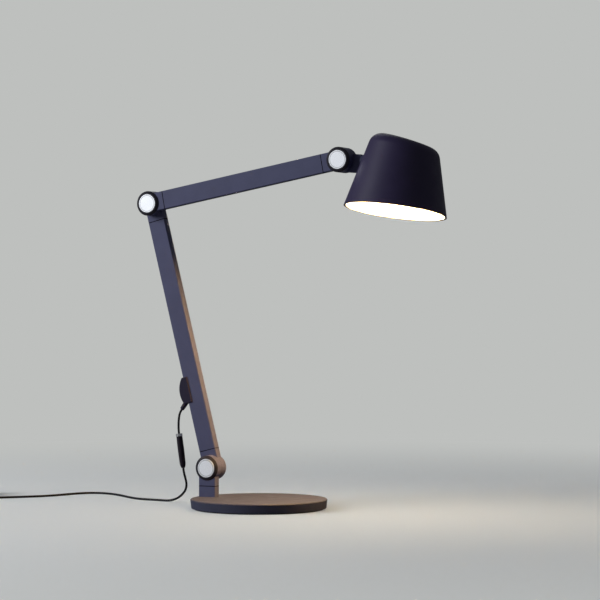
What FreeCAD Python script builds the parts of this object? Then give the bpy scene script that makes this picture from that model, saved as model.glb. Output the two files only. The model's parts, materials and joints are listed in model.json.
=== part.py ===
import FreeCAD, Part
import math
import os

import Sketcher

# Two-arm desk lamp on a round weighted base. Millimetres, +Z up. The origin is the
# centre of the base's underside, +X runs along the arms towards the lamp head and
# -Y is the side with the bright joint discs.
#
# Every arm is made in two layers: the post and the upper arm lie in the front layer,
# the lower arm and the head's neck lie in the rear layer, one layer pitch behind.

SIZES = {
    # round base
    "base_diameter": 200.0,
    "base_draft": 1.4,
    "base_height": 14.8,
    "base_wall": 2.2,
    "base_bevel": 1.0,
    "base_clearance": 0.3,
    "hole_clearance": 0.2,
    "seat_clearance": 0.1,
    "thread_clearance": 0.05,
    "pad_thickness": 1.8,
    "pad_inset": 4.0,
    "boss_inset": 25.0,
    "boss_diameter": 9.0,
    "boss_depth": 6.5,
    "base_screw_diameter": 4.0,
    "base_screw_length": 6.5,
    "base_thread_depth": 5.5,
    "screw_head_diameter": 8.5,
    "screw_head_height": 2.6,
    "post_screw_diameter": 5.0,
    "post_screw_spacing": 13.0,
    "post_screw_reach": 12.0,
    # arms
    "post_inset": 17.5,
    "shoulder_height": 57.2,
    "lower_length": 404.0,
    "lower_lean": 14.25,
    "upper_length": 317.5,
    "upper_rise": 10.4,
    "arm_width": 27.0,
    "arm_depth": 13.0,
    "arm_wall": 1.6,
    "arm_edge_radius": 1.0,
    "layer_gap": 0.5,
    "tongue_length": 15.0,
    "tongue_clearance": 0.1,
    "grub_diameter": 4.0,
    "grub_length": 6.0,
    "grub_inset": 8.0,
    "grub_socket": 2.0,
    "grub_sink": 0.2,
    "lead_hole_along": 110.0,
    "lead_hole_length": 12.6,
    "lead_hole_width": 9.0,
    # joints
    "barrel_diameter": 36.6,
    "seam_distance": 26.5,
    "bezel_depth": 3.0,
    "bezel_lip": 0.8,
    "bezel_edge": 0.5,
    "disc_diameter": 27.6,
    "disc_gap": 0.3,
    "disc_proud": 0.2,
    "disc_edge": 0.5,
    "disc_floor": 0.8,
    "disc_spigot_diameter": 18.0,
    "disc_spigot_depth": 0.6,
    "bolt_diameter": 8.0,
    "bolt_clearance": 0.05,
    "bolt_head_diameter": 13.0,
    "bolt_head_height": 4.5,
    "bolt_socket": 6.0,
    "front_recess_diameter": 20.0,
    "front_recess_depth": 7.0,
    "rear_recess_diameter": 15.0,
    "rear_recess_depth": 6.5,
    "rear_cap_diameter": 27.4,
    "rear_cap_thickness": 1.2,
    "rear_cap_edge": 0.3,
    "nut_width": 13.0,
    "nut_thickness": 4.0,
    "spring_diameter": 16.0,
    "spring_thickness": 0.8,
    "spring_cone": 0.3,
    "friction_diameter": 33.0,
    "friction_thickness": 0.4,
    "friction_clearance": 0.3,
    # head
    "head_tilt": 4.9,
    "shade_roll": -7.9,
    "neck_length": 28.8,
    "neck_drop": 3.6,
    "swivel_diameter": 12.0,
    "swivel_bore": 8.0,
    "swivel_clearance": 0.05,
    "swivel_gap": 0.3,
    "swivel_margin": 1.0,
    "swivel_seat_diameter": 19.6,
    "shade_reach": 90.7,
    "shade_drop": 69.1,
    "shade_mouth_diameter": 148.0,
    "shade_taper": 14.0,
    "shade_height": 103.6,
    "shade_top_tilt": 10.5,
    "shade_corner_radius": 18.0,
    "shade_wall": 1.6,
    "reflector_wall": 1.5,
    "reflector_lip": 0.5,
    "reflector_gap": 0.3,
    "light_height": 44.0,
    "light_diameter": 92.0,
    "light_opening": 72.0,
    "light_flange": 1.2,
    "diffuser_thickness": 2.0,
    "diffuser_clearance": 0.3,
    "light_box_depth": 5.6,
    "light_box_wall": 3.0,
    "board_diameter": 76.0,
    "board_thickness": 1.6,
    "chip_size": 3.0,
    "chip_height": 0.7,
    "chip_circle": 50.0,
    "sink_thickness": 4.0,
    "fin_height": 14.0,
    "fin_thickness": 2.0,
    "fin_pitch": 7.0,
    "fin_length": 56.0,
    "fin_offset": 5.0,
    "bracket_width": 28.0,
    "bracket_height": 29.0,
    "bracket_face": 49.0,
    "swivel_nut_width": 17.0,
    "swivel_nut_thickness": 4.5,
    # cable inlet on the lower arm, measured along the arm from the shoulder axis
    "inlet_start": 101.0,
    "inlet_end": 139.8,
    "inlet_overlap": 7.0,
    "inlet_low_height": 20.5,
    "inlet_high_height": 15.3,
    "inlet_crown_radius": 35.4,
    "inlet_cheek": 1.8,
    "inlet_clearance": 0.1,
    "inlet_edge_radius": 1.2,
    "plug_along": 105.67,
    "plug_out": 17.53,
    "plug_angle": 130.0,
    "plug_diameter": 7.2,
    "plug_grip": 6.0,
    "plug_end_diameter": 6.4,
    "plug_length": 15.9,
    "plug_pin_diameter": 5.0,
    "plug_pin_length": 7.0,
    "socket_diameter": 8.0,
    "socket_length": 8.0,
    "socket_clearance": 0.05,
    # cord and what is on it
    "cord_diameter": 3.4,
    "switch_x": -140.05,
    "switch_z": 105.6,
    "switch_tilt": 8.0,
    "collar_diameter": 9.8,
    "collar_length": 4.0,
    "collar_edge": 0.5,
    "collar_spigot": 3.0,
    "switch_diameter": 9.0,
    "switch_belly_diameter": 9.6,
    "switch_nose_diameter": 7.8,
    "switch_nose_length": 3.5,
    "switch_tip_diameter": 5.8,
    "switch_tip_length": 1.0,
    "switch_end_diameter": 5.0,
    "switch_length": 47.5,
    "switch_belly_along": 19.0,
    "switch_taper_along": 40.4,
    "switch_cavity": 40.0,
    "switch_wall": 1.2,
    "button_length": 11.0,
    "button_width": 4.4,
    "button_height": 3.2,
    "button_clearance": 0.15,
    "button_travel": 0.8,
    "button_along": 20.0,
    "coil_radius": 24.0,
    "coil_pitch": 3.9,
    "adapter_length": 52.0,
    "adapter_width": 36.0,
    "adapter_radius": 4.0,
    "adapter_relief_length": 20.0,
    "adapter_relief_diameter": 8.0,
    "adapter_relief_end_diameter": 4.8,
    "adapter_pin_diameter": 4.0,
    "adapter_pin_length": 19.0,
    "adapter_pin_spacing": 19.0,
}

# Cord routes, chosen by hand: plug to switch, switch to table, and along the table.
UPPER_ROUTE = [
    (-134.8, 13.5, 142.4),
    (-137.7, 13.5, 138.3),
    (-139.7, 13.5, 132.7),
    (-140.7, 13.5, 124.8),
    (-140.9, 13.5, 116.8),
    (-140.7, 13.5, 110.4),
    (-140.05, 13.5, 105.6),
]
HANGING_ROUTE = [
    (-132.87, 13.5, 54.5),
    (-131.9, 13.5, 47.6),
    (-129.7, 15.5, 37.5),
    (-130.6, 20.0, 28.8),
    (-136.0, 26.0, 20.0),
    (-147.0, 33.5, 11.5),
    (-160.0, 40.5, 5.3),
    (-175.0, 46.5, 1.7),
    (-190.0, 49.0, 1.7),
]
TABLE_ROUTE = [
    (-190.0, 49.0, 1.7),
    (-204.8, 51.5, 1.7),
    (-224.0, 53.5, 1.7),
    (-243.0, 61.0, 1.7),
    (-266.0, 79.0, 1.7),
    (-292.0, 101.0, 1.7),
    (-320.0, 119.0, 1.7),
    (-345.0, 124.0, 1.7),
    (-364.0, 112.0, 1.7),
    (-374.0, 86.0, 1.7),
    (-381.0, 56.0, 1.7),
    (-395.0, 29.5, 1.7),
    (-413.0, 8.0, 1.7),
    (-434.0, -12.5, 1.7),
    (-451.0, -30.8, 1.7),
]
BASE_SCREWS = 3
COIL_TURNS = 10.32
COIL_LAYERS = 4
REVERSAL = 0.5
FULL_TURN = 360

doc = FreeCAD.newDocument("desk_lamp")
dims = doc.addObject("Spreadsheet::Sheet", "dims")
for row, (alias, value) in enumerate(SIZES.items(), start=1):
    dims.set(f"A{row}", alias.replace("_", " "))
    dims.set(f"B{row}", str(value))
    dims.setAlias(f"B{row}", alias)
doc.recompute()

subparts = []


def size(alias):
    """A driving dimension as a number."""
    return float(dims.get(alias))


# ---------------------------------------------------------------- frames

X_AXIS, Y_AXIS, Z_AXIS = "1; 0; 0", "0; 1; 0", "0; 0; 1"


def shift(x="0", y="0", z="0", axis=Z_AXIS, angle="0"):
    """A placement, as an expression: moved by x, y, z and turned about axis."""
    turn = f"create(<<rotation>>; create(<<vector>>; {axis}); {angle})"
    return f"create(<<placement>>; create(<<vector>>; {x}; {y}; {z}); {turn})"


def chain(*frames):
    return " * ".join(frames)


LAYER = "(dims.arm_depth + dims.layer_gap)"
REAR = shift(y=LAYER)
POST_OFFSET = "(dims.base_diameter / 2 - dims.post_inset)"
BOSS_RADIUS = "(dims.base_diameter / 2 - dims.boss_inset)"
SHOULDER = shift(x=f"-{POST_OFFSET}", z="dims.shoulder_height")
LOWER = chain(SHOULDER, shift(axis=Y_AXIS, angle="-90 - dims.lower_lean"))
ELBOW = chain(LOWER, shift(x="dims.lower_length", axis=Y_AXIS, angle="90 + dims.lower_lean"))
UPPER = chain(ELBOW, shift(axis=Y_AXIS, angle="-dims.upper_rise"))
WRIST = chain(UPPER, shift(x="dims.upper_length", axis=Y_AXIS, angle="dims.upper_rise"))
NECK = chain(WRIST, REAR, shift(axis=Y_AXIS, angle="dims.head_tilt"))
SWIVEL = chain(NECK, shift(axis=X_AXIS, angle="dims.shade_roll"))
SHADE = chain(SWIVEL, shift(x="dims.shade_reach", z="-dims.shade_drop"))
SWITCH = shift("dims.switch_x", LAYER, "dims.switch_z", Y_AXIS, "180 - dims.switch_tilt")


# ---------------------------------------------------------------- making pieces


def keep(feature, name):
    """Name a finished piece, which becomes a node of its own."""
    feature.Label = name
    subparts.append(feature)
    return feature


def new_body(name, frame=""):
    body = doc.addObject("PartDesign::Body", name)
    if frame:
        body.setExpression("Placement", frame)
    return keep(body, name)


def new_sketch(body, plane):
    """An empty sketch on one of the body's own origin planes."""
    sketch = body.newObject("Sketcher::SketchObject", body.Name + "_sketch")
    support = [f for f in body.Origin.OriginFeatures if f.Role == plane]
    sketch.AttachmentSupport = [(support[0], "")]
    sketch.MapMode = "FlatFace"
    return sketch


def pin_point(sketch, geometry, point, x, y):
    """Hold one point of a sketch at x, y, both expressions, from its origin."""
    for kind, text in (("DistanceX", x), ("DistanceY", y)):
        number = float(sketch.evalExpression(text))
        index = sketch.addConstraint(Sketcher.Constraint(kind, -1, 1, geometry, point, number))
        sketch.setExpression(f"Constraints[{index}]", text)


def outline(sketch, corners):
    """A closed outline of straight lines through corners, each a pair of expressions."""
    spots = [
        FreeCAD.Vector(sketch.evalExpression(x), sketch.evalExpression(y), 0) for x, y in corners
    ]
    first = sketch.GeometryCount
    for start, end in zip(spots, spots[1:] + spots[:1]):
        sketch.addGeometry(Part.LineSegment(start, end), False)
    for index, (x, y) in enumerate(corners):
        following = first + (index + 1) % len(corners)
        sketch.addConstraint(Sketcher.Constraint("Coincident", first + index, 2, following, 1))
        pin_point(sketch, first + index, 1, x, y)
    return sketch


def rectangle(sketch, x_low, x_high, y_low, y_high):
    return outline(sketch, [(x_low, y_low), (x_high, y_low), (x_high, y_high), (x_low, y_high)])


def circle(sketch, radius, x="0", y="0"):
    centre = FreeCAD.Vector(sketch.evalExpression(x), sketch.evalExpression(y), 0)
    number = float(sketch.evalExpression(radius))
    axis = FreeCAD.Vector(0, 0, 1)
    index = sketch.addGeometry(Part.Circle(centre, axis, number), False)
    pin_point(sketch, index, 3, x, y)
    held = sketch.addConstraint(Sketcher.Constraint("Radius", index, number))
    sketch.setExpression(f"Constraints[{held}]", radius)
    return sketch


def hexagon(sketch, width):
    """A hexagon about the origin, two of its flats parallel to the sketch's X."""
    half = f"({width} / 2)"
    side = f"({width} / sqrt(3))"
    corners = [(side, "0"), (f"{side} / 2", half), (f"-{side} / 2", half)]
    corners += [(f"-{side}", "0"), (f"-{side} / 2", f"-{half}"), (f"{side} / 2", f"-{half}")]
    return outline(sketch, corners)


def slab(body, sketch, kind, length, symmetric=True, back=False):
    """Pad or Pocket a sketch by length, an expression."""
    feature = body.newObject(f"PartDesign::{kind}", f"{body.Name}_{kind.lower()}")
    feature.Profile = sketch
    feature.SideType = "Symmetric" if symmetric else "One side"
    feature.Reversed = back
    feature.setExpression("Length", length)
    body.Tip = feature
    doc.recompute()
    return feature


TURNING = {"X": ("XY_Plane", "H_Axis"), "Y": ("XY_Plane", "V_Axis"), "Z": ("XZ_Plane", "V_Axis")}


def spin(body, kind, axis, corners):
    """Turn an outline about the body's own X, Y or Z axis: a Revolution or a Groove."""
    plane, line = TURNING[axis]
    sketch = outline(new_sketch(body, plane), corners)
    feature = body.newObject(f"PartDesign::{kind}", f"{body.Name}_{kind.lower()}")
    feature.Profile = sketch
    feature.ReferenceAxis = (sketch, [line])
    feature.Angle = FULL_TURN
    body.Tip = feature
    doc.recompute()
    return feature


def turned(name, frame, axis, corners):
    body = new_body(name, frame)
    spin(body, "Revolution", axis, corners)
    return body


def dress(body, kind, size_name, chosen):
    """Fillet or Chamfer the edges that chosen picks from the body's last feature."""
    base = body.Tip
    names = [f"Edge{i}" for i, edge in enumerate(base.Shape.Edges, start=1) if chosen(edge)]
    feature = body.newObject(f"PartDesign::{kind}", f"{body.Name}_{kind.lower()}")
    feature.Base = (base, names)
    feature.setExpression("Radius" if kind == "Fillet" else "Size", size_name)
    body.Tip = feature
    doc.recompute()
    return feature


def primitive(kind, name, frame="", **sizes):
    """A Part primitive whose sizes are expressions."""
    shape = doc.addObject(f"Part::{kind}", name)
    for key, text in sizes.items():
        shape.setExpression(key, text)
    if frame:
        shape.setExpression("Placement", frame)
    return shape


def cylinder(name, radius, height, frame=""):
    return primitive("Cylinder", name, frame, Radius=radius, Height=height)


def boolean(kind, name, base, tool):
    feature = doc.addObject(f"Part::{kind}", name)
    feature.Base = base
    feature.Tool = tool
    return feature


def group(name, pieces, frame=""):
    """Several separate solids of one kind, kept as one node."""
    feature = doc.addObject("Part::Compound", name)
    feature.Links = pieces
    if frame:
        feature.setExpression("Placement", frame)
    return keep(feature, name)


TOUCH = 0.001


def runs_along(edge, axis):
    """Whether an edge is a straight line along an axis: 0, 1 or 2."""
    if edge.Curve.TypeId != "Part::GeomLine":
        return False
    return abs(abs(edge.Curve.Direction[axis]) - 1) < TOUCH


# ---------------------------------------------------------------- round base


def make_base():
    foot = "(dims.base_diameter / 2 - dims.base_draft)"
    rim = "dims.base_diameter / 2"
    top = "dims.base_height"
    roof = "(dims.base_height - dims.base_wall)"

    pad = cylinder("foot_pad", f"{foot} - dims.pad_inset", "dims.pad_thickness")
    keep(pad, "foot_pad")

    cover = turned("base_cover", shift(), "Z", [
        (f"{foot} - dims.base_wall", "dims.pad_thickness"),
        (foot, "dims.pad_thickness"),
        (rim, f"{top} - dims.base_bevel"),
        (f"{rim} - dims.base_bevel", top),
        ("0", top),
        ("0", roof),
        (f"{rim} - dims.base_wall", roof),
    ])
    bosses = new_sketch(cover, "XY_Plane")
    bosses.setExpression(".AttachmentOffset.Base.z", roof)
    circle(bosses, "dims.boss_diameter / 2", BOSS_RADIUS)
    boss = slab(cover, bosses, "Pad", "dims.boss_depth", symmetric=False, back=True)
    polar(cover, boss, BASE_SCREWS)
    threads = new_sketch(cover, "XY_Plane")
    threads.setExpression(".AttachmentOffset.Base.z", f"{roof} - dims.boss_depth")
    circle(threads, "dims.base_screw_diameter / 2 + dims.thread_clearance", BOSS_RADIUS)
    thread = slab(cover, threads, "Pocket", "2 * dims.base_thread_depth")
    polar(cover, thread, BASE_SCREWS)
    post_holes(cover, "dims.post_screw_diameter / 2 + dims.hole_clearance", "4 * dims.base_height")

    weight = turned("base_weight", shift(), "Z", [
        ("0", "dims.pad_thickness"),
        (f"{foot} - dims.base_wall - dims.base_clearance", "dims.pad_thickness"),
        (f"{foot} - dims.base_wall - dims.base_clearance", roof),
        ("0", roof),
    ])
    seats = new_sketch(weight, "XY_Plane")
    seats.setExpression(".AttachmentOffset.Base.z", roof)
    circle(seats, "dims.boss_diameter / 2 + dims.base_clearance", BOSS_RADIUS)
    polar(weight, slab(weight, seats, "Pocket", "2 * dims.boss_depth"), BASE_SCREWS)
    shanks = circle(new_sketch(weight, "XY_Plane"),
                    "dims.base_screw_diameter / 2 + dims.hole_clearance", BOSS_RADIUS)
    polar(weight, slab(weight, shanks, "Pocket", "2 * dims.base_height"), BASE_SCREWS)
    heads = new_sketch(weight, "XY_Plane")
    heads.setExpression(".AttachmentOffset.Base.z", "dims.pad_thickness")
    circle(heads, "dims.screw_head_diameter / 2 + dims.base_clearance", BOSS_RADIUS)
    polar(weight, slab(weight, heads, "Pocket", "2 * dims.screw_head_height"), BASE_SCREWS)
    post_holes(weight, "dims.post_screw_diameter / 2 + dims.hole_clearance", "4 * dims.base_height")
    post_holes(weight, "dims.screw_head_diameter / 2 + dims.base_clearance",
               "2 * (dims.pad_thickness + dims.screw_head_height)")


def polar(body, feature, count):
    """Repeat a feature count times round the body's Z axis."""
    pattern = body.newObject("PartDesign::PolarPattern", body.Name + "_polar")
    pattern.Originals = [feature]
    axis = [f for f in body.Origin.OriginFeatures if f.Role == "Z_Axis"][0]
    pattern.Axis = (axis, [""])
    pattern.Angle = FULL_TURN
    pattern.Occurrences = count
    body.Tip = pattern
    doc.recompute()
    return pattern


def post_holes(body, radius, length):
    """Two holes under the post, cut both ways from the base's underside."""
    sketch = new_sketch(body, "XY_Plane")
    for side in "-+":
        circle(sketch, radius, f"-{POST_OFFSET} {side} dims.post_screw_spacing / 2")
    return slab(body, sketch, "Pocket", length)


def round_screw(name, frame, head, head_height, shank, length):
    """A cylinder-head screw along its own +Z, the head's outer face at 0."""
    corners = [
        ("0", "0"),
        (head, "0"),
        (head, head_height),
        (shank, head_height),
        (shank, f"{head_height} + {length}"),
        ("0", f"{head_height} + {length}"),
    ]
    body = doc.addObject("PartDesign::Body", name)
    body.setExpression("Placement", frame)
    spin(body, "Revolution", "Z", corners)
    return body


def make_base_screws():
    screws = []
    for index in range(BASE_SCREWS):
        turn = f"{index} * {FULL_TURN} / {BASE_SCREWS}"
        frame = chain(shift(angle=turn), shift(BOSS_RADIUS, "0", "dims.pad_thickness"))
        screws.append(round_screw(
            f"cover_screw_{index}", frame, "dims.screw_head_diameter / 2",
            "dims.screw_head_height - dims.seat_clearance", "dims.base_screw_diameter / 2",
            "dims.base_screw_length"))
    group("cover_screws", screws)
    screws = []
    for side in "-+":
        x = f"-{POST_OFFSET} {side} dims.post_screw_spacing / 2"
        screws.append(round_screw(
            f"post_screw_{len(screws)}", shift(x, "0", "dims.pad_thickness"),
            "dims.screw_head_diameter / 2", "dims.screw_head_height - dims.seat_clearance",
            "dims.post_screw_diameter / 2",
            "dims.base_height - dims.pad_thickness + dims.post_screw_reach"
            " - dims.screw_head_height"))
    group("post_screws", screws)


# ---------------------------------------------------------------- arms

HALF_WIDTH = "(dims.arm_width / 2)"
HALF_DEPTH = "(dims.arm_depth / 2)"
PAST = 1


def long_corner(edge, drop=0):
    """An outer edge along X of an arm, or of the neck, whose middle is lower by drop."""
    if not runs_along(edge, 0):
        return False
    spot = edge.Vertexes[0].Point
    off_depth = abs(abs(spot.y) - size("arm_depth") / 2)
    off_width = abs(abs(spot.z + drop) - size("arm_width") / 2)
    return max(off_depth, off_width) < TOUCH


def hollow_tube(name, frame, length, grubs):
    """A rectangular tube centred on its own origin, along X, with its set-screw holes."""
    body = new_body(name, frame)
    section = new_sketch(body, "YZ_Plane")
    rectangle(section, f"-{HALF_DEPTH}", HALF_DEPTH, f"-{HALF_WIDTH}", HALF_WIDTH)
    inner_depth = f"({HALF_DEPTH} - dims.arm_wall)"
    inner_width = f"({HALF_WIDTH} - dims.arm_wall)"
    rectangle(section, f"-{inner_depth}", inner_depth, f"-{inner_width}", inner_width)
    slab(body, section, "Pad", length)
    dress(body, "Fillet", "dims.arm_edge_radius", long_corner)
    if grubs:
        holes = new_sketch(body, "XZ_Plane")
        holes.setExpression(".AttachmentOffset.Base.z", f"-{HALF_DEPTH}")
        for side in "-+":
            circle(holes, "dims.grub_diameter / 2 + dims.thread_clearance",
                   f"{side}({length} / 2 - dims.grub_inset)")
        slab(body, holes, "Pocket", "2 * (dims.arm_wall + dims.seat_clearance)")
    return body


def make_tubes():
    # the post is a short tube between the base and the shoulder's knuckle
    seam = "(dims.shoulder_height - dims.seam_distance)"
    middle = f"(dims.base_height + {seam}) / 2"
    upright = shift(f"-{POST_OFFSET}", "0", middle, Y_AXIS, "-90")
    hollow_tube("post_tube", upright, f"{seam} - dims.base_height", grubs=False)
    for name, arm, layer in (("lower", LOWER, REAR), ("upper", UPPER, shift())):
        length = f"(dims.{name}_length - 2 * dims.seam_distance)"
        frame = chain(arm, layer, shift(x=f"dims.{name}_length / 2"))
        tube = hollow_tube(f"{name}_arm_tube", frame, length, grubs=True)
        if name == "lower":
            lead_hole(tube)
        screws = []
        for side in "-+":
            x = f"{side}({length} / 2 - dims.grub_inset)"
            screws.append(grub_screw(f"{name}_grub_{len(screws)}", x))
        group(f"{name}_arm_screws", screws, frame)


def lead_hole(tube):
    """The opening under the cable inlet, in the lower arm's rear wall."""
    sketch = new_sketch(tube, "XY_Plane")
    sketch.setExpression(".AttachmentOffset.Base.z", HALF_WIDTH)
    middle = "(dims.lead_hole_along - dims.lower_length / 2)"
    rectangle(sketch, f"{middle} - dims.lead_hole_length / 2",
              f"{middle} + dims.lead_hole_length / 2",
              "-dims.lead_hole_width / 2", "dims.lead_hole_width / 2")
    slab(tube, sketch, "Pocket", "2 * (dims.arm_wall + dims.hole_clearance)")


def grub_screw(name, x):
    """A set screw along +Y, flush with the tube's rear face, with a hexagon socket."""
    body = doc.addObject("PartDesign::Body", name)
    top = f"({HALF_DEPTH} - dims.grub_sink)"
    body.setExpression("Placement", shift(x))
    spin(body, "Revolution", "Y", [
        ("0", f"{top} - dims.grub_length"),
        ("dims.grub_diameter / 2", f"{top} - dims.grub_length"),
        ("dims.grub_diameter / 2", top),
        ("0", top),
    ])
    socket = new_sketch(body, "XZ_Plane")
    socket.setExpression(".AttachmentOffset.Base.z", f"-{top}")
    hexagon(socket, "dims.grub_socket")
    slab(body, socket, "Pocket", "2 * dims.grub_socket")
    return body


def knuckle(name, frame, side, reach="dims.seam_distance", tongue="dims.tongue_length",
            drop=""):
    """A joint half: a barrel about Y, a block along +X and a tongue that fills the tube.

    side is -1 where the joint's recess opens to the front and 1 where it opens to the rear.
    drop names the size by which the block lies below the barrel's axis.
    """
    body = new_body(name, frame)
    radius = "dims.barrel_diameter / 2"
    slab(body, circle(new_sketch(body, "XZ_Plane"), radius), "Pad", "dims.arm_depth")
    below = f" - dims.{drop}" if drop else ""
    lowered = size(drop) if drop else 0
    block = rectangle(new_sketch(body, "XZ_Plane"), "0", reach, f"-{HALF_WIDTH}{below}",
                      f"{HALF_WIDTH}{below}")
    slab(body, block, "Pad", "dims.arm_depth")
    dress(body, "Fillet", "dims.arm_edge_radius", lambda edge: long_corner(edge, lowered))
    if tongue:
        margin = "(dims.arm_wall + dims.tongue_clearance)"
        half = f"({HALF_WIDTH} - {margin})"
        tenon = new_sketch(body, "XZ_Plane")
        rectangle(tenon, f"{reach} - {PAST}", f"{reach} + {tongue}", f"-{half}", half)
        slab(body, tenon, "Pad", f"dims.arm_depth - 2 * {margin}")
        if tongue == "dims.tongue_length":
            hole = new_sketch(body, "XZ_Plane")
            hole.setExpression(".AttachmentOffset.Base.z", f"-{HALF_DEPTH}")
            circle(hole, "dims.grub_diameter / 2 + dims.thread_clearance",
                   f"{reach} + dims.grub_inset")
            slab(body, hole, "Pocket", "2 * (dims.grub_length + 2 * dims.grub_sink)")
    bore = "dims.bolt_diameter / 2 + dims.bolt_clearance"
    if side < 0:
        floor = f"(-{HALF_DEPTH} + dims.front_recess_depth)"
        spin(body, "Groove", "Y", [
            ("0", f"-{HALF_DEPTH} - {PAST}"),
            ("dims.front_recess_diameter / 2", f"-{HALF_DEPTH} - {PAST}"),
            ("dims.front_recess_diameter / 2", floor),
            (bore, floor),
            (bore, f"{HALF_DEPTH} + {PAST}"),
            ("0", f"{HALF_DEPTH} + {PAST}"),
        ])
    else:
        floor = f"({HALF_DEPTH} - dims.rear_recess_depth)"
        ledge = f"({HALF_DEPTH} - dims.rear_cap_thickness - dims.seat_clearance)"
        spin(body, "Groove", "Y", [
            ("0", f"-{HALF_DEPTH} - {PAST}"),
            (bore, f"-{HALF_DEPTH} - {PAST}"),
            (bore, floor),
            ("dims.rear_recess_diameter / 2", floor),
            ("dims.rear_recess_diameter / 2", ledge),
            ("dims.rear_cap_diameter / 2 + dims.seat_clearance", ledge),
            ("dims.rear_cap_diameter / 2 + dims.seat_clearance", f"{HALF_DEPTH} + {PAST}"),
            ("0", f"{HALF_DEPTH} + {PAST}"),
        ])
    return body


def make_knuckles():
    down = shift(axis=Y_AXIS, angle="90")
    about = shift(axis=Z_AXIS, angle="180")
    back = shift(axis=Y_AXIS, angle="180")
    stub = ("(dims.shoulder_height - dims.seam_distance - dims.base_height"
            " - dims.hole_clearance)")
    post = knuckle("post_knuckle", chain(SHOULDER, down), -1, tongue=stub)
    threads = new_sketch(post, "YZ_Plane")
    threads.setExpression(".AttachmentOffset.Base.z", "dims.shoulder_height - dims.base_height")
    for side in "-+":
        circle(threads, "dims.post_screw_diameter / 2 + dims.thread_clearance",
               "0", f"{side} dims.post_screw_spacing / 2")
    slab(post, threads, "Pocket", f"2 * (dims.post_screw_reach + {PAST})")
    lower_top = shift(x="dims.lower_length")
    upper_end = shift(x="dims.upper_length")
    knuckle("lower_arm_bottom_knuckle", chain(LOWER, REAR), 1)
    knuckle("lower_arm_top_knuckle", chain(LOWER, lower_top, REAR, back), 1)
    knuckle("upper_arm_back_knuckle", UPPER, -1)
    knuckle("upper_arm_front_knuckle", chain(UPPER, upper_end, back), -1)
    neck = knuckle("neck", NECK, 1, reach="dims.neck_length", tongue="", drop="neck_drop")
    spin(neck, "Groove", "X", [
        ("dims.barrel_diameter / 2", "0"),
        (f"dims.neck_length + {PAST}", "0"),
        (f"dims.neck_length + {PAST}", "dims.swivel_diameter / 2"),
        ("dims.barrel_diameter / 2", "dims.swivel_diameter / 2"),
    ])


# ---------------------------------------------------------------- joints


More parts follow.
